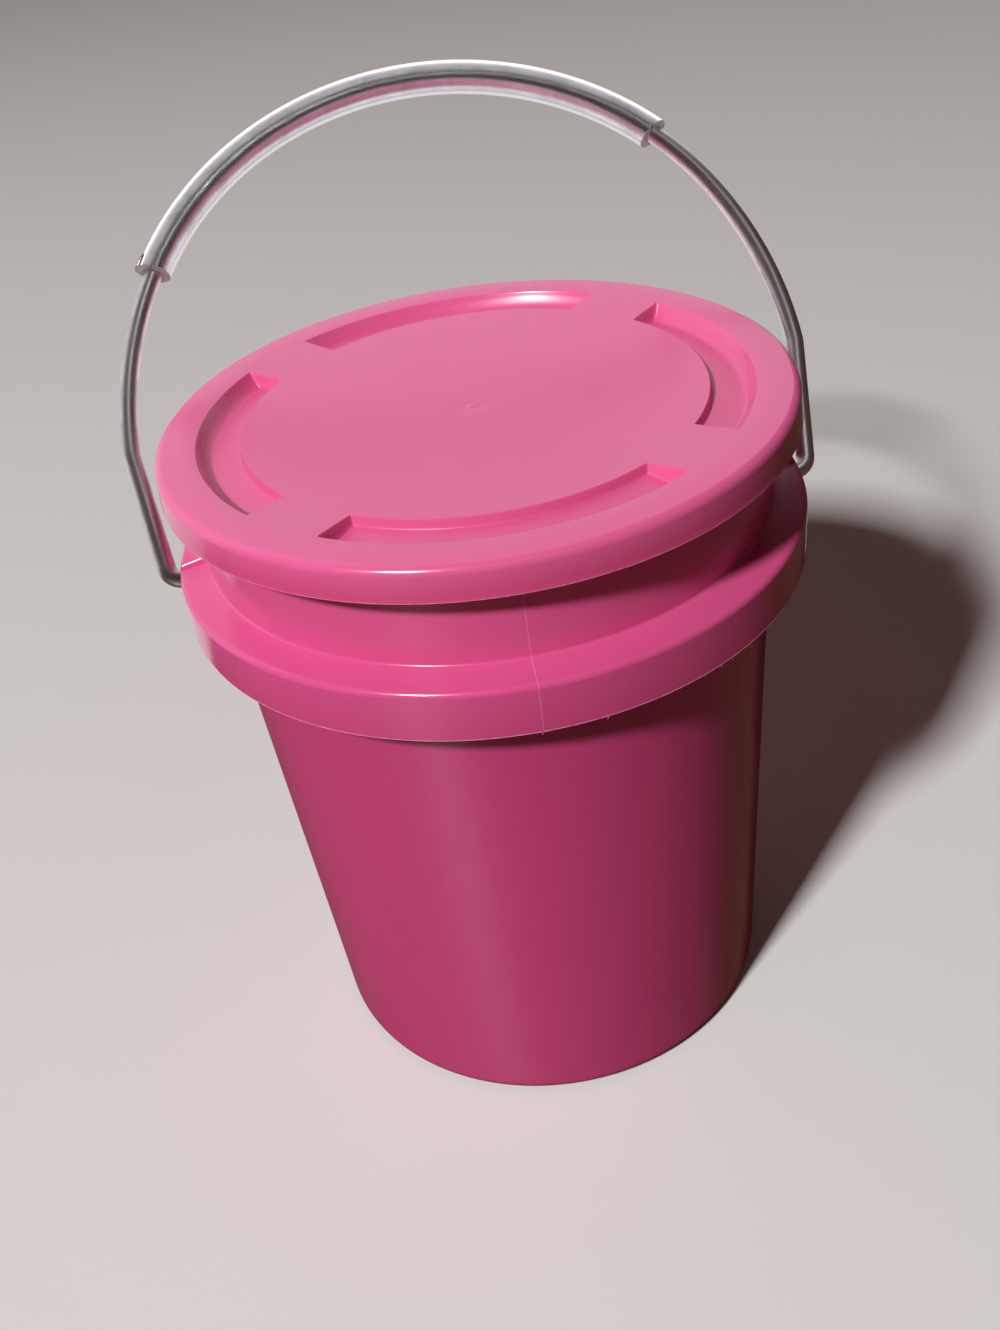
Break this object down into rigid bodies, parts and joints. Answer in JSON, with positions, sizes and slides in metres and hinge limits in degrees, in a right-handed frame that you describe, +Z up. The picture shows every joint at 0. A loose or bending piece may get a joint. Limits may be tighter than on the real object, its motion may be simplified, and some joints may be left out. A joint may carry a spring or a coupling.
{
  "type": "plastic favor pail",
  "caption": "Small round plastic party pail with a tapered body, a collar, a press-on lid with arc recesses, and a wire bail in a clear grip sleeve.",
  "frame": {"origin": "centre of the foot ring, in the plane that the pail stands on", "axes": "+Z up along the pail's axis, X along the line about which the bail turns, +Y towards the back, where the bail leans"},
  "size_m": [0.103, 0.106, 0.1351],
  "materials": {
    "pail_plastic": "moulded, glossy, hot pink",
    "lid_plastic": "moulded, glossy, hot pink",
    "bail_wire": "bright zinc-coated wire",
    "clear_sleeve": "clear extruded tube"
  },
  "bodies": {
    "pail_body": {"pail": "pail_plastic"},
    "lid_body": {"lid": "lid_plastic"},
    "bail_body": {"bail": "bail_wire", "grip_sleeve": "clear_sleeve"}
  },
  "joints": [
    {"name": "bail_hinge", "type": "hinge", "parent": "pail_body", "child": "bail_body", "pos_m": [0, 0, 0.0835], "axis": [1, 0, 0], "range_deg": [-98.8, 198.8]},
    {"name": "lid_lift", "type": "slide", "parent": "pail_body", "child": "lid_body", "axis": [0, 0, 1], "range_m": [0, 0.015]}
  ]
}
